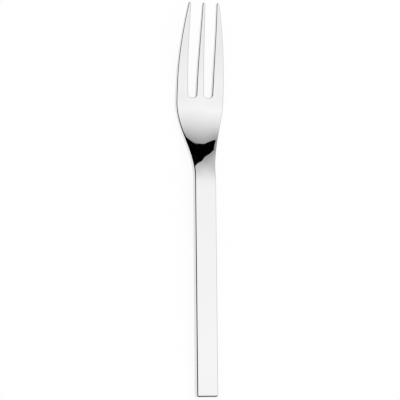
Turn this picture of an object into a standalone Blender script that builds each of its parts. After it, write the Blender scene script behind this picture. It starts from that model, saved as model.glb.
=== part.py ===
"""Serving fork in polished stainless steel, one piece from the handle's end to the tips of its three tines.

It is modelled as it is made: a flat blank is cut to the outline, its two slots are cut out, its edges
are rounded, and the whole is pressed into the side profile, with an arched fold at the back of the bowl.
Metres, +Z up, the tines towards +Y. The origin is under the middle of the fork, on the table that it
lies on.
"""

import math

import bmesh
import bpy
import numpy as np

# Lengths along the fork, from the handle's end to the tips
HANDLE_LENGTH = 0.1240
NECK_LENGTH = 0.0218
BOWL_LENGTH = 0.0332
TINE_LENGTH = 0.0560

# Widths of the blank
HANDLE_END_WIDTH = 0.0143
HANDLE_NECK_WIDTH = 0.0142
HEAD_WIDTH = 0.0317
MIDDLE_TINE_WIDTH = 0.0055
SLOT_WIDTH = 0.0053
TIP_WIDTH = 0.0019

# How far past the straight handle the sides start to flare, and how far behind the slots they are full width
FLARE_DELAY = 0.0094
SHOULDER_LENGTH = 0.0022

# Curves of the outline
HEAD_SIDE_RADIUS = 0.272
HANDLE_CORNER_RADIUS = 0.0014
SLOT_CORNER_RADIUS = 0.0017

# Thickness of the metal
HANDLE_END_THICKNESS = 0.0040
HANDLE_NECK_THICKNESS = 0.0036
HEAD_THICKNESS = 0.0028
TIP_THICKNESS = 0.0018

# Rounding of the edges: its radius along the top, and how far it reaches up from below
HANDLE_END_EDGE = 0.0008
HANDLE_NECK_EDGE = 0.0007
HEAD_EDGE = 0.0007
TIP_EDGE = 0.0006
HANDLE_UNDER_RISE = 0.0010
HEAD_UNDER_RISE = 0.0008
TIP_UNDER_RISE = 0.0005

# The most of a wall, of half a tip or of a slot that a rounding may take
MOST_OF_WALL = 0.45
MOST_OF_TIP = 0.80
MOST_OF_SLOT = 0.45

# Side profile: how far the metal turns from the line of the handle, and how far along the tines it turns
DROP_ANGLE = math.radians(15.0)
TINE_ROOT_ANGLE = math.radians(3.8)
TINE_ANGLE = math.radians(7.9)
TINE_TURN_LENGTH = 0.0300

# Bend of the sheet across the bowl, at its back and at the slots' root
BOWL_BEND_RADIUS = 0.0760
ROOT_BEND_RADIUS = 0.0270

# Arched fold on the top of the bowl's back: how much later it comes at the sides
FOLD_ARCH = 0.0080
FOLD_ARCH_POWER = 1.82

# Crown across the top of the neck, and how far it reaches to each side of the neck's middle
CROWN_RADIUS = 0.0486
CROWN_REACH = 0.0131

# Roll of the neck's sides: its depth, and its start, deepest point and end measured from the steepest point
ROLL_FALL = 0.0002
ROLL_POWER = 6.4
ROLL_LEAD = 0.0077
ROLL_DELAY = 0.0025
ROLL_TRAIL = 0.0146

# Steel
STEEL_COLOUR = (0.80, 0.80, 0.80, 1.0)
STEEL_ROUGHNESS = 0.10

# Cells of the blank's grid, and steps of the side profile
EDGE_CELLS = 3
MIDDLE_TINE_CELLS = 2
SLOT_CORNER_CELLS = 2
SLOT_CELLS = 2
OUTER_TINE_CELLS = 4
HANDLE_CELLS = 6
BEND_CELLS = 36
TINE_CELLS = 18
PROFILE_STEPS = 2000

# Stations along the fork, measured from the handle's end
NECK_START = HANDLE_LENGTH
CROWN_STATION = NECK_START + NECK_LENGTH / 2
DROP_STATION = NECK_START + NECK_LENGTH
SLOT_ROOT = DROP_STATION + BOWL_LENGTH
TINE_TURN_END = SLOT_ROOT + TINE_TURN_LENGTH
LENGTH = SLOT_ROOT + TINE_LENGTH
TIP_RADIUS = TIP_WIDTH / 2
TIP_START = LENGTH - TIP_RADIUS
SLOT_CORNER = min(SLOT_CORNER_RADIUS, MOST_OF_SLOT * SLOT_WIDTH)


def ease(start, end, station):
    """Share of the way from start to end, level at both ends."""
    share = np.clip((station - start) / (end - start), 0, 1)
    return share * share * (3 - 2 * share)


def eased_sum(start, end, station):
    """Running sum of an ease along the stations."""
    share = np.clip((station - start) / (end - start), 0, 1)
    return (end - start) * (share**3 - share**4 / 2) + np.maximum(station - end, 0)


def taper(start, end, station, first, last):
    """A size that changes evenly from first to last between two stations."""
    return np.interp(station, [start, end], [first, last])


def half_width(station):
    """Half the blank's width: the handle's taper, the flare of the shoulders, and the arcs of the sides."""
    handle = taper(0, NECK_START, station, HANDLE_END_WIDTH, HANDLE_NECK_WIDTH) / 2
    flare = ease(NECK_START + FLARE_DELAY, SLOT_ROOT - SHOULDER_LENGTH, station)
    past_root = np.clip(station, SLOT_ROOT, TIP_START) - SLOT_ROOT
    side_arc = HEAD_SIDE_RADIUS - np.sqrt(HEAD_SIDE_RADIUS**2 - past_root**2)
    return handle + flare * (HEAD_WIDTH / 2 - handle) - side_arc


def slot_inner_edge(station):
    """Half the middle tine's width, which is the side of a slot nearest the centre line."""
    return taper(SLOT_ROOT, TIP_START, station, MIDDLE_TINE_WIDTH / 2, TIP_RADIUS)


def slot_outer_edge(station):
    """The inner side of an outer tine, straight from the slot's root to the tip."""
    root = MIDDLE_TINE_WIDTH / 2 + SLOT_WIDTH
    return taper(SLOT_ROOT, TIP_START, station, root, half_width(TIP_START) - TIP_WIDTH)


def formed_size(station, handle_end, handle_neck, head, tip):
    """A size of the section: even changes along the handle and the tines, and an eased one along the bend."""
    handle = taper(0, NECK_START, station, handle_end, handle_neck)
    bowl = handle + ease(NECK_START, SLOT_ROOT, station) * (head - handle)
    return bowl + taper(SLOT_ROOT, TIP_START, station, 0, tip - head)


def thickness(station):
    """Thickness of the metal, rolled thinner through the bend and then along the tines."""
    return formed_size(station, HANDLE_END_THICKNESS, HANDLE_NECK_THICKNESS, HEAD_THICKNESS, TIP_THICKNESS)


def top_edge(station):
    """Radius of the top's rounded edge, never more than the metal's thickness or a tip can take."""
    tip = min(TIP_EDGE, MOST_OF_TIP * TIP_RADIUS)
    wanted = formed_size(station, HANDLE_END_EDGE, HANDLE_NECK_EDGE, HEAD_EDGE, tip)
    return np.minimum(wanted, MOST_OF_WALL * thickness(station))


def under_rise(station):
    """How far the underside has risen at the outer end of its rounding, which is as wide as the top's."""
    wanted = formed_size(station, HANDLE_UNDER_RISE, HANDLE_UNDER_RISE, HEAD_UNDER_RISE, TIP_UNDER_RISE)
    return np.minimum(wanted, MOST_OF_WALL * thickness(station))


def side_profile():
    """Stations, heights of the top on the centre line, and slopes, with the fork lying on a table.

    The slope is added up from the handle's end. The fork then lies on the line under it that touches the
    handle's end and the bowl.
    """
    station = np.linspace(0, LENGTH, PROFILE_STEPS + 1)
    angle = -DROP_ANGLE * ease(NECK_START, DROP_STATION, station)
    angle += (DROP_ANGLE + TINE_ROOT_ANGLE) * ease(DROP_STATION, SLOT_ROOT, station)
    angle += (TINE_ANGLE - TINE_ROOT_ANGLE) * ease(SLOT_ROOT, TINE_TURN_END, station)
    slope = np.tan(angle)
    rises = (slope[1:] + slope[:-1]) / 2 * np.diff(station)
    top = np.concatenate([[0], np.cumsum(rises)])
    underside = top - thickness(station) / np.cos(angle)
    table_slope = np.min((underside[1:] - underside[0]) / station[1:])
    return station, top - underside[0] - table_slope * station, slope - table_slope


def pressed_height(across, station, profile):
    """Height of the pressed sheet: the side profile, reached later towards the sides of the bowl."""
    bend = taper(DROP_STATION, SLOT_ROOT, station, 1 / BOWL_BEND_RADIUS, 1 / ROOT_BEND_RADIUS)
    bend *= taper(SLOT_ROOT, TINE_TURN_END, station, 1, 0)
    return np.interp(station - bend * across**2 / 2, profile[0], profile[1])


def arched_fold(across, station):
    """How far the top lies under the sheet: its upturn starts later and ends earlier off the centre."""
    lag = FOLD_ARCH * (across / half_width(station)) ** FOLD_ARCH_POWER
    middle = eased_sum(DROP_STATION, SLOT_ROOT, station)
    sides = eased_sum(DROP_STATION + lag, SLOT_ROOT - lag, station)
    return (DROP_ANGLE + TINE_ROOT_ANGLE) * (middle - sides)


def neck_crown(across, station):
    """How far the top of the neck falls away to its sides, most at the neck's middle."""
    nearness = 1 - ease(0, CROWN_REACH, np.abs(station - CROWN_STATION))
    return nearness * across**2 / (2 * CROWN_RADIUS)


def neck_roll(across, station):
    """How far the sides of the neck roll over, close to the edge only."""
    deepest = DROP_STATION + ROLL_DELAY
    nearness = ease(DROP_STATION - ROLL_LEAD, deepest, station)
    nearness *= 1 - ease(deepest, DROP_STATION + ROLL_TRAIL, station)
    return ROLL_FALL * nearness * (across / half_width(station)) ** ROLL_POWER


def edge_insets(radius):
    """Distances from an edge of the grid lines that its rounding takes, from the flat out to the edge."""
    turn = np.linspace(0, math.pi / 2, EDGE_CELLS + 1)
    return np.multiply.outer(1 - np.sin(turn), radius)


def joined(runs):
    """Named runs of grid lines set end to end, with the number of the line where each run starts."""
    lines = np.concatenate([run[min(number, 1):] for number, run in enumerate(runs.values())])
    starts = np.cumsum([0] + [len(run) - 1 for run in runs.values()])
    return lines, {name: int(start) for name, start in zip(runs, starts)}


def row_stations():
    """Stations of the grid's rows, and the row where each part of the blank starts."""
    end, head, tip = top_edge(np.array([0, SLOT_ROOT, LENGTH]))
    corner_end = SLOT_ROOT + SLOT_CORNER
    return joined({
        "end_edge": edge_insets(end)[::-1],
        "handle": np.linspace(end, NECK_START, HANDLE_CELLS + 1),
        "bend": np.linspace(NECK_START, SLOT_ROOT - head, BEND_CELLS + 1),
        "root_edge": SLOT_ROOT - edge_insets(head),
        "slot_corner": np.linspace(SLOT_ROOT, corner_end, SLOT_CORNER_CELLS + 1),
        "tines": np.linspace(corner_end, TIP_START, TINE_CELLS + 1),
        "tip": np.array([TIP_START, LENGTH - tip]),
        "tip_edge": LENGTH - edge_insets(tip),
    })


def blank_columns(stations):
    """Places of the grid's columns across half the blank, and the column where each part starts."""
    inner = slot_inner_edge(stations)
    outer = slot_outer_edge(stations)
    side = half_width(stations)
    reach = top_edge(stations)
    inset = edge_insets(reach)
    corner = SLOT_CORNER * (outer - inner) / SLOT_WIDTH
    return joined({
        "middle_tine": np.linspace(0 * inner, inner - reach, MIDDLE_TINE_CELLS + 1),
        "middle_edge": inner - inset,
        "slot": np.linspace(inner, inner + corner, SLOT_CORNER_CELLS + 1),
        "slot_middle": np.linspace(inner + corner, outer - corner, SLOT_CELLS + 1),
        "slot_far": np.linspace(outer - corner, outer, SLOT_CORNER_CELLS + 1),
        "outer_edge": outer + inset[::-1],
        "outer_tine": np.linspace(outer + reach, side - reach, OUTER_TINE_CELLS + 1),
        "side_edge": side - inset,
    })


def square_blank():
    """Places across and along of every grid point of half the blank, its corners still square.

    Behind the slots each column keeps its share of the flat width at their root.
    """
    stations, rows = row_stations()
    across, columns = blank_columns(stations)
    flat = columns["side_edge"]
    behind = stations < SLOT_ROOT
    shares = across[:flat, rows["slot_corner"]] / across[flat, rows["slot_corner"]]
    across[:flat, behind] = np.outer(shares, across[flat, behind])
    return across, np.tile(stations, (len(across), 1)), columns, rows


def round_corner(across, along, centre, side, end, full, none):
    """Turns the square lines round a corner into arcs about its centre.

    A point's greater distance from the centre becomes its radius, and the share of its lesser distance
    becomes its angle. It moves all the way within the radius full, and not at all past the radius none.
    """
    aside = side * (across - centre[0])
    ahead = end * (along - centre[1])
    inside = (aside > 0) & (ahead > 0)
    aside = aside[inside]
    ahead = ahead[inside]
    radius = np.maximum(aside, ahead)
    share = np.minimum(aside, ahead) / radius
    turn = np.where(aside >= ahead, share, 2 - share) * math.pi / 4
    amount = 1 - np.clip((radius - full) / (none - full), 0, 1)
    across[inside] += side * amount * (radius * np.cos(turn) - aside)
    along[inside] += end * amount * (radius * np.sin(turn) - ahead)


def round_outer_corner(across, along, centre, side, end, radius):
    """Rounds a corner that stands out, whose arcs all lie within its radius."""
    round_corner(across, along, centre, side, end, radius, 2 * radius)


def rounded_blank():
    """The blank's grid with the handle's corners, the tips and the slots' corners rounded."""
    across, along, columns, rows = square_blank()
    handle_centre = (HANDLE_END_WIDTH / 2 - HANDLE_CORNER_RADIUS, HANDLE_CORNER_RADIUS)
    round_outer_corner(across, along, handle_centre, 1, -1, HANDLE_CORNER_RADIUS)

    middle_tip = np.s_[: columns["slot"] + 1, rows["tip"] :]
    round_outer_corner(across[middle_tip], along[middle_tip], (0, TIP_START), 1, 1, TIP_RADIUS)
    outer_tip = np.s_[columns["outer_edge"] :, rows["tip"] :]
    outer_centre = (half_width(TIP_START) - TIP_RADIUS, TIP_START)
    for side in (-1, 1):
        round_outer_corner(across[outer_tip], along[outer_tip], outer_centre, side, 1, TIP_RADIUS)

    inner = MIDDLE_TINE_WIDTH / 2
    full = SLOT_CORNER + top_edge(SLOT_ROOT)
    none = SLOT_CORNER + inner
    corner_end = SLOT_ROOT + SLOT_CORNER
    near_half = np.s_[: columns["slot_middle"] + 1, : rows["tines"] + 1]
    near_centre = (inner + SLOT_CORNER, corner_end)
    round_corner(across[near_half], along[near_half], near_centre, -1, -1, full, none)
    far_half = np.s_[columns["slot_far"] :, : rows["tines"] + 1]
    far_centre = (inner + SLOT_WIDTH - SLOT_CORNER, corner_end)
    round_corner(across[far_half], along[far_half], far_centre, 1, -1, full, none)
    return across, along, columns, rows


def rounding_turn(columns, rows, shape):
    """Angle of the rounded edge at every grid point: 0 on the flat, a right angle at the edge."""
    column, row = np.indices(shape)
    side = column - columns["side_edge"]
    end = rows["handle"] - row
    tip = row - rows["tip_edge"]
    tine_sides = np.minimum(column - columns["middle_edge"], columns["outer_tine"] - column)
    slot = np.minimum(tine_sides, row - rows["root_edge"])
    nearest = np.max([side, end, tip, slot], axis=0)
    return np.clip(nearest, 0, EDGE_CELLS) / EDGE_CELLS * math.pi / 2


def formed_points():
    """Points of the fork's underside and top at every grid point, and where the grid's parts start."""
    across, along, columns, rows = rounded_blank()
    profile = side_profile()
    sheet = pressed_height(across, along, profile)
    upright = np.sqrt(1 + np.interp(along, profile[0], profile[2]) ** 2)
    rounding = 1 - np.cos(rounding_turn(columns, rows, across.shape))
    hollow = arched_fold(across, along) + neck_crown(across, along) + neck_roll(across, along)
    top = sheet - hollow - top_edge(along) * rounding
    underside = sheet - thickness(along) * upright + under_rise(along) * rounding
    place = along - LENGTH / 2
    points = [np.stack([across, place, height], axis=-1) for height in (underside, top)]
    return points, columns, rows


def half_fork_mesh():
    """Half of the fork, open at its middle plane: a grid, slotted, thickened and pressed to shape."""
    points, columns, rows = formed_points()
    column_count, row_count = (count - 1 for count in points[0].shape[:2])
    form = bmesh.new()
    bmesh.ops.create_grid(form, x_segments=column_count, y_segments=row_count, size=0.5)
    bmesh.ops.translate(form, verts=form.verts, vec=(0.5, 0.5, 0))
    bmesh.ops.scale(form, verts=form.verts, vec=(column_count, row_count, 1))

    def in_slot(face):
        middle = face.calc_center_median()
        return columns["slot"] < middle.x < columns["outer_edge"] and middle.y > rows["slot_corner"]

    bmesh.ops.delete(form, geom=[face for face in form.faces if in_slot(face)], context="FACES")
    raised = bmesh.ops.extrude_face_region(form, geom=form.faces[:])["geom"]
    lifted = [item for item in raised if isinstance(item, bmesh.types.BMVert)]
    bmesh.ops.translate(form, verts=lifted, vec=(0, 0, 1))
    on_plane = [face for face in form.faces if all(vertex.co.x < 0.5 for vertex in face.verts)]
    bmesh.ops.delete(form, geom=on_plane, context="FACES_ONLY")

    for vertex in form.verts:
        column, row, layer = (round(value) for value in vertex.co)
        vertex.co = points[layer][column, row]
    bmesh.ops.recalc_face_normals(form, faces=form.faces)
    mesh = bpy.data.meshes.new("serving_fork")
    form.to_mesh(mesh)
    form.free()
    return mesh


def polished_steel():
    """Mirror-polished stainless steel."""
    material = bpy.data.materials.new("polished_steel")
    material.use_nodes = True
    shader = material.node_tree.nodes["Principled BSDF"]
    shader.inputs["Base Color"].default_value = STEEL_COLOUR
    shader.inputs["Metallic"].default_value = 1.0
    shader.inputs["Roughness"].default_value = STEEL_ROUGHNESS
    return material


def serving_fork(collection):
    """The fork: its half mirrored at the middle plane, shaded smooth over its rounded edges."""
    mesh = half_fork_mesh()
    mesh.materials.append(polished_steel())
    mesh.shade_smooth()
    fork = bpy.data.objects.new("serving_fork", mesh)
    collection.objects.link(fork)
    mirror = fork.modifiers.new("other_half", "MIRROR")
    mirror.use_axis = (True, False, False)
    mirror.merge_threshold = 0.00001


for old in list(bpy.data.objects):
    bpy.data.objects.remove(old, do_unlink=True)
parts = bpy.data.collections.new("Serving fork")
bpy.context.scene.collection.children.link(parts)
serving_fork(parts)
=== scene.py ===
import math

import bpy
import numpy as np
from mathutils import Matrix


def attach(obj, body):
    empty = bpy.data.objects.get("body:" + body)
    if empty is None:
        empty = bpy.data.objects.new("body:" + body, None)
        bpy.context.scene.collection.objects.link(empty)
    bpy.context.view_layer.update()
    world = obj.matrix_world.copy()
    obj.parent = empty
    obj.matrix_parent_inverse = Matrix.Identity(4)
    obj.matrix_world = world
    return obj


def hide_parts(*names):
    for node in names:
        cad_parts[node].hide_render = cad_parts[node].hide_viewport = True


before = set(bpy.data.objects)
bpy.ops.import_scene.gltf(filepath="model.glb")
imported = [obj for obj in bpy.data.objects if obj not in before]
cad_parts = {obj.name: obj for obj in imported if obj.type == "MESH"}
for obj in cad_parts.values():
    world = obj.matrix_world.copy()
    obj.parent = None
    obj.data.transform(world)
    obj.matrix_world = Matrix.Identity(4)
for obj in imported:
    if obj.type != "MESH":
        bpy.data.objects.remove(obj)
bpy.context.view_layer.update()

# The fork is one piece of stainless steel: blanked from strip, rolled thinner at the head, slotted into three
# tines, and pressed into its cranked neck and curved bowl. Its edges are rounded all round, and it is buffed
# to a mirror. Nothing is fixed to it. It lies on its handle's end and its bowl, with the tines towards +Y.

# Stations along the fork, measured from the handle's end
NECK_START = 0.1240
DROP_STATION = 0.1458
SLOT_ROOT = 0.1790
LENGTH = 0.2350

# Widths of the blank and the curves of its outline
HANDLE_END_WIDTH = 0.0143
HANDLE_NECK_WIDTH = 0.0142
HEAD_WIDTH = 0.0313
MIDDLE_TINE_WIDTH = 0.0054
SLOT_WIDTH = 0.0051
SLOT_BOW = 0.00045
TIP_WIDTH = 0.0019
FLARE_DELAY = 0.0094
SHOULDER_LENGTH = 0.0022
HEAD_SIDE_START = 0.1820
HEAD_SIDE_RADIUS = 0.2526
HANDLE_CORNER_RADIUS = 0.0014
SLOT_CORNER_RADIUS = 0.0017
TIP_RADIUS = TIP_WIDTH / 2
TIP_START = LENGTH - TIP_RADIUS

# Thickness of the metal
HANDLE_END_THICKNESS = 0.0040
HANDLE_NECK_THICKNESS = 0.0036
HEAD_THICKNESS = 0.0028
TIP_THICKNESS = 0.0018

# Rounding of the edges: how far it reaches in and down along the top, how far in at the handle's end, and how
# far it reaches up from below
HANDLE_END_EDGE = 0.00095
HANDLE_NECK_EDGE = 0.00080
HEAD_EDGE = 0.00073
TIP_EDGE = 0.00062
END_REACH = 0.0013
HANDLE_UNDER_RISE = 0.0010
HEAD_UNDER_RISE = 0.0008
TIP_UNDER_RISE = 0.0005

# Side profile: how far the metal turns from the line of the handle
DROP_ANGLE = math.radians(15.0)
TINE_ROOT_ANGLE = math.radians(3.8)
TINE_ANGLE = math.radians(7.88)
TINE_TURN_LENGTH = 0.0300

# Form across the fork: the bend of the sheet, and on its top the arched fold of the bowl's back, the crown of
# the neck and the roll of the neck's sides
BACK_BEND_RADIUS = 0.0657
BOWL_BEND_RADIUS = 0.0197
BOWL_BEND_STATION = 0.1650
BEND_END = 0.1870
FOLD_ARCH = 0.00966
FOLD_ARCH_POWER = 1.364
CROWN_FALL = 0.00033
CROWN_POWER = 1.378
CROWN_STATION = 0.1382
CROWN_REACH = 0.0089
ROLL_FALL = 0.00024
ROLL_POWER = 3.52
ROLL_START = 0.1361
ROLL_STATION = 0.1528
ROLL_END = 0.1850
MIDDLE_SOFTNESS = 0.25

# Cells of the surface's grid
EDGE_CELLS = 8
MIDDLE_TINE_CELLS = 6
SLOT_CORNER_CELLS = 6
SLOT_CELLS = 4
OUTER_TINE_CELLS = 12
HANDLE_CELLS = 50
BEND_CELLS = 130
TINE_CELLS = 80
PROFILE_STEPS = 4000


def ease(start, end, station):
    """Share of the way from start to end: 3 s^2 - 2 s^3, level at both ends."""
    share = np.clip((station - start) / (end - start), 0, 1)
    return share * share * (3 - 2 * share)


def taper(start, end, station, first, last):
    """A size that changes evenly from first to last between two stations."""
    return np.interp(station, [start, end], [first, last])


def half_width(station):
    """Half the blank's width: the handle's taper, plus the eased flare of the shoulders, less the sides' arc.

    The arc is R - sqrt(R^2 - d^2) at a distance d past its start.
    """
    handle = taper(0, NECK_START, station, HANDLE_END_WIDTH, HANDLE_NECK_WIDTH) / 2
    flare = ease(NECK_START + FLARE_DELAY, SLOT_ROOT - SHOULDER_LENGTH, station)
    past_start = np.clip(station, HEAD_SIDE_START, TIP_START) - HEAD_SIDE_START
    side_arc = HEAD_SIDE_RADIUS - np.sqrt(HEAD_SIDE_RADIUS**2 - past_start**2)
    return handle + flare * (HEAD_WIDTH / 2 - handle) - side_arc


def slot_inner_edge(station):
    """Half the middle tine's width, falling evenly to the tip's radius."""
    return taper(SLOT_ROOT, TIP_START, station, MIDDLE_TINE_WIDTH / 2, TIP_RADIUS)


def slot_outer_edge(station):
    """The inner side of an outer tine: a straight line from the slot's root to the tip, bowed outward.

    The bow's depth times 4 t (1 - t) is added at the share t of the way, so it is deepest halfway.
    """
    root = MIDDLE_TINE_WIDTH / 2 + SLOT_WIDTH
    share = taper(SLOT_ROOT, TIP_START, station, 0, 1)
    line = root + share * (half_width(TIP_START) - TIP_WIDTH - root)
    return line + 4 * SLOT_BOW * share * (1 - share)


def formed_size(station, handle_end, handle_neck, head, tip):
    """A size of the section: even changes along the handle and the tines, and an eased one along the bend."""
    handle = taper(0, NECK_START, station, handle_end, handle_neck)
    bowl = handle + ease(NECK_START, SLOT_ROOT, station) * (head - handle)
    return bowl + taper(SLOT_ROOT, TIP_START, station, 0, tip - head)


def thickness(station):
    """Thickness of the metal, rolled thinner through the bend and then along the tines."""
    return formed_size(station, HANDLE_END_THICKNESS, HANDLE_NECK_THICKNESS, HEAD_THICKNESS, TIP_THICKNESS)


def top_edge(station):
    """Radius of the top's rounded edge along the sides, the slots and the tips."""
    return formed_size(station, HANDLE_END_EDGE, HANDLE_NECK_EDGE, HEAD_EDGE, TIP_EDGE)


def under_rise(station):
    """How far the underside has risen at the outer end of its rounding. It reaches in as far as the top's."""
    return formed_size(station, HANDLE_UNDER_RISE, HANDLE_UNDER_RISE, HEAD_UNDER_RISE, TIP_UNDER_RISE)


def side_profile():
    """Stations, heights of the top on the centre line, and slopes, with the fork lying on a table.

    The slope is the tangent of three eased turns, and its running sum is the height. The fork lies on the
    line under it that touches the handle's end and the bowl.
    """
    station = np.linspace(0, LENGTH, PROFILE_STEPS + 1)
    angle = -DROP_ANGLE * ease(NECK_START, DROP_STATION, station)
    angle += (DROP_ANGLE + TINE_ROOT_ANGLE) * ease(DROP_STATION, SLOT_ROOT, station)
    angle += (TINE_ANGLE - TINE_ROOT_ANGLE) * ease(SLOT_ROOT, SLOT_ROOT + TINE_TURN_LENGTH, station)
    slope = np.tan(angle)
    rises = (slope[1:] + slope[:-1]) / 2 * np.diff(station)
    top = np.concatenate([[0], np.cumsum(rises)])
    underside = top - thickness(station) / np.cos(angle)
    table_slope = np.min((underside[1:] - underside[0]) / station[1:])
    return station, top - underside[0] - table_slope * station, slope - table_slope


def pressed_height(across, station, profile):
    """Height of the pressed sheet: the side profile at station - x^2 / 2R, so later towards the bowl's sides.

    The bend 1 / R grows evenly from the bowl's back to its middle, and is eased away past the slots' root.
    """
    bend = taper(DROP_STATION, BOWL_BEND_STATION, station, 1 / BACK_BEND_RADIUS, 1 / BOWL_BEND_RADIUS)
    bend *= 1 - ease(BOWL_BEND_STATION, BEND_END, station)
    return np.interp(station - bend * across**2 / 2, profile[0], profile[1])


def soft_power(share, power):
    """A power p of the share q of the half width, rounded off over the middle: (q^2 + c^2)^(p/2) - c^p."""
    return (share**2 + MIDDLE_SOFTNESS**2) ** (power / 2) - MIDDLE_SOFTNESS**power


def eased_sum(start, end, station):
    """Running sum of an eased turn: its length times t^3 - t^4 / 2 at the share t, then a straight rise."""
    share = np.clip((station - start) / (end - start), 0, 1)
    return (end - start) * (share**3 - share**4 / 2) + np.maximum(station - end, 0)


def arched_fold(across, station):
    """How far the top lies under the sheet because its upturn starts later, and ends earlier, off the centre.

    The lag is a soft power of the share of the half width, so the fold at the bowl's back is an arc.
    """
    lag = FOLD_ARCH * soft_power(across / half_width(station), FOLD_ARCH_POWER)
    middle = eased_sum(DROP_STATION, SLOT_ROOT, station)
    sides = eased_sum(DROP_STATION + lag, SLOT_ROOT - lag, station)
    return (DROP_ANGLE + TINE_ROOT_ANGLE) * (middle - sides)


def neck_crown(across, station):
    """How far the top of the neck falls away to its sides: a soft power, eased away before and after it."""
    nearness = 1 - ease(0, CROWN_REACH, np.abs(station - CROWN_STATION))
    return CROWN_FALL * nearness * soft_power(2 * across / HANDLE_NECK_WIDTH, CROWN_POWER)


def neck_roll(across, station):
    """How far the neck's sides roll over: a high power of the share of the half width, eased along it."""
    nearness = ease(ROLL_START, ROLL_STATION, station) * (1 - ease(ROLL_STATION, ROLL_END, station))
    return ROLL_FALL * nearness * (across / half_width(station)) ** ROLL_POWER


# Angles of the rounding at its grid lines, close together at the flat and at the wall, so that both shade
# clean
edge_turn = math.pi / 2 * ease(0, EDGE_CELLS, np.arange(EDGE_CELLS + 1))
edge_inset = 1 - np.sin(edge_turn)


def joined(runs):
    """Named runs of grid lines set end to end, with the number of the line where each run starts."""
    lines = np.concatenate([run[min(number, 1):] for number, run in enumerate(runs.values())])
    starts = np.cumsum([0] + [len(run) - 1 for run in runs.values()])
    return lines, {name: int(start) for name, start in zip(runs, starts)}


def row_stations():
    """Stations of the grid's rows, and the row where each part of the blank starts."""
    head, tip = top_edge(np.array([SLOT_ROOT, LENGTH]))
    corner_end = SLOT_ROOT + SLOT_CORNER_RADIUS
    return joined({
        "end_edge": END_REACH * edge_inset[::-1],
        "handle": np.linspace(END_REACH, NECK_START, HANDLE_CELLS + 1),
        "bend": np.linspace(NECK_START, SLOT_ROOT - head, BEND_CELLS + 1),
        "root_edge": SLOT_ROOT - head * edge_inset,
        "slot_corner": np.linspace(SLOT_ROOT, corner_end, SLOT_CORNER_CELLS + 1),
        "tines": np.linspace(corner_end, TIP_START, TINE_CELLS + 1),
        "tip": np.array([TIP_START, LENGTH - tip]),
        "tip_edge": LENGTH - tip * edge_inset,
    })


def blank_columns(stations):
    """Places across of the columns of half the grid at each station, and the column where each part starts.

    Every run of columns shares out its width evenly, but the roundings have their own spacing.
    """
    inner = slot_inner_edge(stations)
    outer = slot_outer_edge(stations)
    side = half_width(stations)
    reach = top_edge(stations)
    inset = np.outer(edge_inset, reach)
    corner = SLOT_CORNER_RADIUS * (outer - inner) / SLOT_WIDTH
    return joined({
        "middle_tine": np.linspace(0 * inner, inner - reach, MIDDLE_TINE_CELLS + 1),
        "middle_edge": inner - inset,
        "slot": np.linspace(inner, inner + corner, SLOT_CORNER_CELLS + 1),
        "slot_middle": np.linspace(inner + corner, outer - corner, SLOT_CELLS + 1),
        "slot_far": np.linspace(outer - corner, outer, SLOT_CORNER_CELLS + 1),
        "outer_edge": outer + inset[::-1],
        "outer_tine": np.linspace(outer + reach, side - reach, OUTER_TINE_CELLS + 1),
        "side_edge": side - inset,
    })


def square_blank():
    """Places across and along of every grid point of half the blank, its corners still square.

    Behind the slots each column keeps its share of the flat width at their root.
    """
    stations, rows = row_stations()
    across, columns = blank_columns(stations)
    flat = columns["side_edge"]
    behind = stations < SLOT_ROOT
    shares = across[:flat, rows["slot_corner"]] / across[flat, rows["slot_corner"]]
    across[:flat, behind] = np.outer(shares, across[flat, behind])
    return across, np.tile(stations, (len(across), 1)), columns, rows


def round_corner(across, along, centre, side, end, full, none):
    """Turns the square lines round a corner into arcs about its centre, in place.

    A point's greater distance from the centre becomes its radius, and the share of its lesser distance
    becomes its angle. It moves all the way within the radius full, and not at all past the radius none.
    """
    aside = side * (across - centre[0])
    ahead = end * (along - centre[1])
    inside = (aside > 0) & (ahead > 0)
    aside = aside[inside]
    ahead = ahead[inside]
    radius = np.maximum(aside, ahead)
    share = np.minimum(aside, ahead) / radius
    turn = np.where(aside >= ahead, share, 2 - share) * math.pi / 4
    amount = 1 - np.clip((radius - full) / (none - full), 0, 1)
    across[inside] += side * amount * (radius * np.cos(turn) - aside)
    along[inside] += end * amount * (radius * np.sin(turn) - ahead)


def rounded_blank():
    """The blank's grid with the handle's corners, the tips and the slots' corners turned into arcs."""
    across, along, columns, rows = square_blank()
    handle_centre = (HANDLE_END_WIDTH / 2 - HANDLE_CORNER_RADIUS, HANDLE_CORNER_RADIUS)
    round_corner(across, along, handle_centre, 1, -1, HANDLE_CORNER_RADIUS, 2 * HANDLE_CORNER_RADIUS)

    middle_tip = np.s_[: columns["slot"] + 1, rows["tip"] :]
    round_corner(across[middle_tip], along[middle_tip], (0, TIP_START), 1, 1, TIP_RADIUS, TIP_WIDTH)
    outer_tip = np.s_[columns["outer_edge"] :, rows["tip"] :]
    outer_centre = (half_width(TIP_START) - TIP_RADIUS, TIP_START)
    for side in (-1, 1):
        round_corner(across[outer_tip], along[outer_tip], outer_centre, side, 1, TIP_RADIUS, TIP_WIDTH)

    inner = MIDDLE_TINE_WIDTH / 2
    full = SLOT_CORNER_RADIUS + top_edge(SLOT_ROOT)
    none = SLOT_CORNER_RADIUS + inner
    corner_end = SLOT_ROOT + SLOT_CORNER_RADIUS
    near_half = np.s_[: columns["slot_middle"] + 1, : rows["tines"] + 1]
    near_centre = (inner + SLOT_CORNER_RADIUS, corner_end)
    round_corner(across[near_half], along[near_half], near_centre, -1, -1, full, none)
    far_half = np.s_[columns["slot_far"] :, : rows["tines"] + 1]
    far_centre = (inner + SLOT_WIDTH - SLOT_CORNER_RADIUS, corner_end)
    round_corner(across[far_half], along[far_half], far_centre, 1, -1, full, none)
    return across, along, columns, rows


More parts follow.
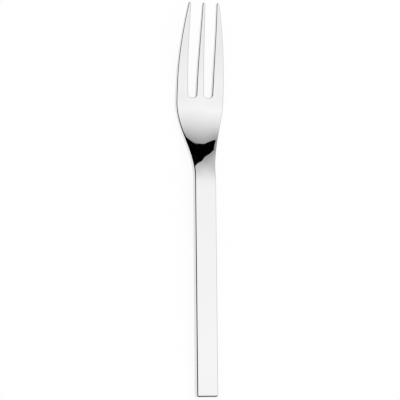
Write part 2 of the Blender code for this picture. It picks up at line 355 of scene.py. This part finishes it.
def rounding_turn(columns, rows, shape):
    """Angle of the rounded edge at every grid point: 0 on the flat, a right angle at the edge."""
    column, row = np.indices(shape)
    side = column - columns["side_edge"]
    end = rows["handle"] - row
    tip = row - rows["tip_edge"]
    tine_sides = np.minimum(column - columns["middle_edge"], columns["outer_tine"] - column)
    slot = np.minimum(tine_sides, row - rows["root_edge"])
    nearest = np.max([side, end, tip, slot], axis=0)
    return edge_turn[np.clip(nearest, 0, EDGE_CELLS)]


def mirrored(half):
    """A grid over half the fork, continued over the other half: x becomes -x across column 0."""
    return np.concatenate([half[:0:-1] * [-1, 1, 1, 1], half])


def fork_surfaces():
    """Points of the underside and the top on the whole fork's grid, and which of its cells hold metal.

    A point is x, y, z and how far the edge is rounded there, from 0 on the flat to 1 at the wall.

    Top: the pressed sheet, less the fold's arch, the crown and the roll, less the edge's radius times
    1 - cos(turn). Underside: the sheet less the thickness measured upright, plus the under rise times
    1 - cos(turn).
    """
    across, along, columns, rows = rounded_blank()
    profile = side_profile()
    sheet = pressed_height(across, along, profile)
    upright = np.sqrt(1 + np.interp(along, profile[0], profile[2]) ** 2)
    rounding = 1 - np.cos(rounding_turn(columns, rows, across.shape))
    hollow = arched_fold(across, along) + neck_crown(across, along) + neck_roll(across, along)
    top = sheet - hollow - top_edge(along) * rounding
    underside = sheet - thickness(along) * upright + under_rise(along) * rounding
    place = along - LENGTH / 2
    surfaces = [mirrored(np.stack([across, place, height, rounding], axis=-1)) for height in (underside, top)]
    solid = np.ones((across.shape[0] - 1, across.shape[1] - 1), bool)
    solid[columns["slot"] : columns["outer_edge"], rows["slot_corner"] :] = False
    return surfaces, np.concatenate([solid[::-1], solid])


def plate_mesh(name, surfaces, solid):
    """Closed mesh of a plate: the solid cells of its two grids, and a wall along each open edge of them.

    The walls are found by shifting the mask of solid cells by one cell each way.
    """
    grids = np.stack(surfaces)
    low, high = np.arange(grids[..., 0].size).reshape(grids.shape[:3])
    corners = [np.s_[:-1, :-1], np.s_[1:, :-1], np.s_[1:, 1:], np.s_[:-1, 1:]]
    faces = [
        np.stack([high[corner][solid] for corner in corners], axis=-1),
        np.stack([low[corner][solid] for corner in corners[::-1]], axis=-1),
    ]
    framed = np.pad(solid, 1)
    neighbours = [framed[1:-1, :-2], framed[2:, 1:-1], framed[1:-1, 2:], framed[:-2, 1:-1]]
    for number, neighbour in enumerate(neighbours):
        open_edge = solid & ~neighbour
        first = corners[number]
        second = corners[(number + 1) % len(corners)]
        wall = [grid[corner][open_edge] for grid, corner in
                ((low, first), (low, second), (high, second), (high, first))]
        faces.append(np.stack(wall, axis=-1))
    used, faces = np.unique(np.concatenate(faces), return_inverse=True)
    mesh = bpy.data.meshes.new(name)
    points = grids.reshape(-1, grids.shape[-1])[used]
    mesh.from_pydata(points[:, :3].tolist(), [], faces.reshape(-1, 4).tolist())
    mesh.shade_smooth()
    mesh.attributes.new("rounding", "FLOAT", "POINT").data.foreach_set("value", points[:, 3])
    return mesh


class Wire:
    """One output of a shader node. Arithmetic on wires and numbers adds Math nodes to their tree."""

    def __init__(self, tree, socket=None):
        self.tree = tree
        self.socket = socket

    def node(self, kind, settings, inputs, output=0):
        """Adds any node: its settings, then a value or a wire for each input. Gives one of its outputs."""
        node = self.tree.nodes.new(kind)
        for name, value in settings.items():
            setattr(node, name, value)
        for name, value in inputs.items():
            if isinstance(value, Wire):
                self.tree.links.new(value.socket, node.inputs[name])
            else:
                node.inputs[name].default_value = value
        return Wire(self.tree, node.outputs[output])

    def math(self, operation, first, second):
        return self.node("ShaderNodeMath", {"operation": operation}, {0: first, 1: second})

    def __add__(self, other):
        return self.math("ADD", self, other)

    __radd__ = __add__

    def __sub__(self, other):
        return self.math("SUBTRACT", self, other)

    def __rsub__(self, other):
        return self.math("SUBTRACT", other, self)

    def __mul__(self, other):
        return self.math("MULTIPLY", self, other)

    __rmul__ = __mul__

    def __truediv__(self, other):
        return self.math("DIVIDE", self, other)

    def at_least(self, other):
        return self.math("MAXIMUM", self, other)

    def at_most(self, other):
        return self.math("MINIMUM", self, other)

    def blurred_step(self, start, end):
        """0 below start, 1 above end, and a smooth rise between them."""
        return self.node("ShaderNodeMapRange", {"interpolation_type": "SMOOTHSTEP"},
                         {"Value": self, "From Min": start, "From Max": end})

    def blended(self, first, second):
        """Colour between first and second by this share, through the Mix node's colour sockets 6, 7 and 2."""
        return self.node("ShaderNodeMix", {"data_type": "RGBA"}, {"Factor": self, 6: first, 7: second}, 2)


# Finish of the steel: bright and neutral, with buffing lines along the fork and a faint haze between them.
# The sheared walls and rounded edges of the blank are rougher and darker than its faces. The darkness is
# partly their duller finish and partly painted shade, which stands in for the table's shadow reflected in
# them.
STEEL_BRIGHT = (0.95, 0.95, 0.95, 1.0)
STEEL_HAZY = (0.92, 0.92, 0.92, 1.0)
STEEL_WALL_AND_SHADE = (0.78, 0.78, 0.78, 1.0)
POLISH_ROUGHNESS = 0.008
HAZE_ROUGHNESS = 0.008
LINE_ROUGHNESS = 0.008
WALL_ROUGHNESS = 0.08
HAZE_PER_METRE = 60.0
HAZE_DETAIL = 4.0
LINES_PER_METRE = (9000.0, 90.0, 9000.0)
LINE_DETAIL = 3.0
LINE_DEPTH = 0.00000004


def polished_steel():
    """Mirror-polished stainless steel, with a broad haze, fine lengthwise lines, and duller walls whose
    colour is darkened further as painted shade.
    """
    material = bpy.data.materials.new("polished_steel")
    material.use_nodes = True
    tree = material.node_tree
    shader = tree.nodes["Principled BSDF"]
    steel = Wire(tree)
    place = steel.node("ShaderNodeTexCoord", {}, {}, "Object")
    cloud = {"Vector": place, "Scale": HAZE_PER_METRE, "Detail": HAZE_DETAIL}
    haze = steel.node("ShaderNodeTexNoise", {}, cloud, "Fac")
    drawn_out = steel.node("ShaderNodeMapping", {}, {"Vector": place, "Scale": LINES_PER_METRE})
    grain = {"Vector": drawn_out, "Scale": 1.0, "Detail": LINE_DETAIL}
    lines = steel.node("ShaderNodeTexNoise", {}, grain, "Fac")
    wall = steel.node("ShaderNodeAttribute", {"attribute_name": "rounding"}, {}, "Fac")
    # The walls' colour is darker partly for their duller finish and partly as painted shade, for the table's
    # shadow reflected at the edges.
    tone_and_shade = wall.blended(haze.blended(STEEL_BRIGHT, STEEL_HAZY), STEEL_WALL_AND_SHADE)
    roughness = POLISH_ROUGHNESS + HAZE_ROUGHNESS * haze + LINE_ROUGHNESS * lines + WALL_ROUGHNESS * wall
    bump = steel.node("ShaderNodeBump", {}, {"Height": lines, "Distance": LINE_DEPTH})
    shader.inputs["Metallic"].default_value = 1.0
    tree.links.new(tone_and_shade.socket, shader.inputs["Base Color"])
    tree.links.new(roughness.socket, shader.inputs["Roughness"])
    tree.links.new(bump.socket, shader.inputs["Normal"])
    return material


fork = bpy.data.objects.new("polished_fork", plate_mesh("polished_fork", *fork_surfaces()))
fork.data.materials.append(polished_steel())
bpy.context.scene.collection.objects.link(fork)
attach(fork, "root")
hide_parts("serving_fork")

# The table: a wide white sheet that the fork lies on. Most of its white is a glow that the camera and
# reflections see, so that it is as white as the studio round it. The rest is lit, and takes the fork's soft
# shadow.
TABLE_HALF_WIDTH = 6.0
TABLE_DEPTH = 0.0001
TABLE_COLOUR = (0.10, 0.10, 0.10, 1.0)
TABLE_GLOW = 0.90


def seen_directly(wire):
    """1 for what the camera sees, straight or in a reflection or through glass, and 0 for other light."""
    rays = ("Is Camera Ray", "Is Glossy Ray", "Is Transmission Ray")
    camera, glossy, through = (wire.node("ShaderNodeLightPath", {}, {}, ray) for ray in rays)
    return camera.at_least(glossy).at_least(through)


def white_table():
    """Plain matt white: a faint colour that is lit, with the glow added to what is seen directly."""
    material = bpy.data.materials.new("white_table")
    material.use_nodes = True
    tree = material.node_tree
    shader = tree.nodes["Principled BSDF"]
    shader.inputs["Base Color"].default_value = TABLE_COLOUR
    shader.inputs["Roughness"].default_value = 1.0
    shader.inputs["Specular IOR Level"].default_value = 0.0
    shader.inputs["Emission Strength"].default_value = 1.0
    glow = TABLE_GLOW * seen_directly(Wire(tree))
    tree.links.new(glow.socket, shader.inputs["Emission Color"])
    return material


table_mesh = bpy.data.meshes.new("table")
table_corners = TABLE_HALF_WIDTH * np.array([[-1, -1, 0], [1, -1, 0], [1, 1, 0], [-1, 1, 0]])
table_mesh.from_pydata((table_corners - [0, 0, TABLE_DEPTH]).tolist(), [], [[0, 1, 2, 3]])
table_mesh.materials.append(white_table())
table = bpy.data.objects.new("table", table_mesh)
bpy.context.scene.collection.objects.link(table)

# The studio: white all round for the camera. In the steel it is a lit panel overhead that fades towards the
# tips, the unlit room past the panel's edges, a pale screen behind the tips that fades to the left, and a
# pale sweep low all round.
FILL_STRENGTH = 1.0
PANEL_BRIGHT = 0.82
PANEL_SIDE_RISE = 0.3
PANEL_FADE = 0.6
PANEL_FAR_FADE = 0.816
PANEL_MOST = 0.98
PANEL_NEAR_FADE = 0.45
PANEL_FAR_EDGE = -0.0076
PANEL_FAR_SLANT = 1.0606
PANEL_FAR_BLUR = 0.003
PANEL_NEAR_EDGE = -0.40
PANEL_NEAR_BLUR = 0.05
PANEL_SIDE_EDGE = (1.15, 1.5)
SCREEN_BRIGHT = 0.92
SCREEN_LOW_EDGE = (0.72, 0.90)
SCREEN_LEFT_FADE = (-3.0, 0.25)
SWEEP_BRIGHT = 0.85
SWEEP_EDGE = (2.4, 3.3)
LEAST_RISE = 0.02


def studio():
    """World light. A direction is read as x/z and y/z, the place where it meets a panel one unit overhead.

    The panel brightens evenly to the right and fades by a square towards the tips. It ends at its right edge,
    its near edge and its slanting far edge. Of the panel, the screen and the sweep, the brightest is seen.
    """
    world = bpy.data.worlds.new("studio")
    world.use_nodes = True
    tree = world.node_tree
    light = Wire(tree)
    ray = light.node("ShaderNodeTexCoord", {}, {}, "Generated")
    x, y, z = (light.node("ShaderNodeSeparateXYZ", {}, {"Vector": ray}, axis) for axis in "XYZ")
    rise = z.at_least(LEAST_RISE)
    across = x / rise
    along = y / rise
    fade = along * (PANEL_FADE + PANEL_FAR_FADE * along)
    panel = PANEL_BRIGHT + PANEL_SIDE_RISE * across - fade
    panel = panel.at_most(PANEL_MOST + PANEL_NEAR_FADE * along).at_least(0.0)
    panel = panel * (1 - across.blurred_step(*PANEL_SIDE_EDGE))
    slanted = along - PANEL_FAR_SLANT * across
    past_far = slanted.blurred_step(PANEL_FAR_EDGE - PANEL_FAR_BLUR, PANEL_FAR_EDGE + PANEL_FAR_BLUR)
    past_near = along.blurred_step(PANEL_NEAR_EDGE - PANEL_NEAR_BLUR, PANEL_NEAR_EDGE + PANEL_NEAR_BLUR)
    screen = SCREEN_BRIGHT * along.blurred_step(*SCREEN_LOW_EDGE)
    screen = screen * across.blurred_step(*SCREEN_LEFT_FADE)
    sweep_start, sweep_end = SWEEP_EDGE
    sweep = SWEEP_BRIGHT * (across * across + along * along).blurred_step(sweep_start**2, sweep_end**2)
    mirrored_studio = (panel * past_near * (1 - past_far)).at_least(screen).at_least(sweep)
    glossy = light.node("ShaderNodeLightPath", {}, {}, "Is Glossy Ray")
    brightness = FILL_STRENGTH + glossy * (mirrored_studio - FILL_STRENGTH)
    background = tree.nodes["Background"]
    tree.links.new(brightness.socket, background.inputs["Color"])
    background.inputs["Strength"].default_value = 1.0
    world.cycles.sampling_method = "NONE"
    return world


bpy.context.scene.world = studio()

# The camera stands left of straight above and a little towards the handle. Its long lens keeps the fork's
# sides nearly parallel.
CAMERA_LEAN_LEFT = math.radians(26.0)
CAMERA_LEAN_BACK = math.radians(5.017)
CAMERA_TURN = math.radians(-1.404)
CAMERA_DISTANCE = 2.2
CAMERA_AIM = np.array([-0.000090, 0.000260, -0.000122])
CAMERA_LENS = 332.37
CAMERA_SENSOR = 36.0


def camera_axes():
    """Right, up and back of the camera: back by its two leans, up square to it, and a turn about back."""
    back = np.array([
        -math.sin(CAMERA_LEAN_LEFT) * math.cos(CAMERA_LEAN_BACK),
        -math.sin(CAMERA_LEAN_BACK),
        math.cos(CAMERA_LEAN_LEFT) * math.cos(CAMERA_LEAN_BACK),
    ])
    up = np.array([0.0, 1.0, 0.0]) - back[1] * back
    up /= np.linalg.norm(up)
    right = np.cross(up, back)
    turned_right = math.cos(CAMERA_TURN) * right + math.sin(CAMERA_TURN) * up
    turned_up = math.cos(CAMERA_TURN) * up - math.sin(CAMERA_TURN) * right
    return turned_right, turned_up, back


camera = bpy.data.objects.new("camera", bpy.data.cameras.new("camera"))
camera.data.lens = CAMERA_LENS
camera.data.sensor_width = CAMERA_SENSOR
camera.data.clip_end = 10 * TABLE_HALF_WIDTH
placing = np.eye(4)
placing[:3, :3] = np.stack(camera_axes(), axis=-1)
placing[:3, 3] = CAMERA_AIM + CAMERA_DISTANCE * placing[:3, 2]
camera.matrix_world = placing.T.tolist()
bpy.context.scene.collection.objects.link(camera)
bpy.context.scene.camera = camera
bpy.context.scene.view_settings.view_transform = "Standard"
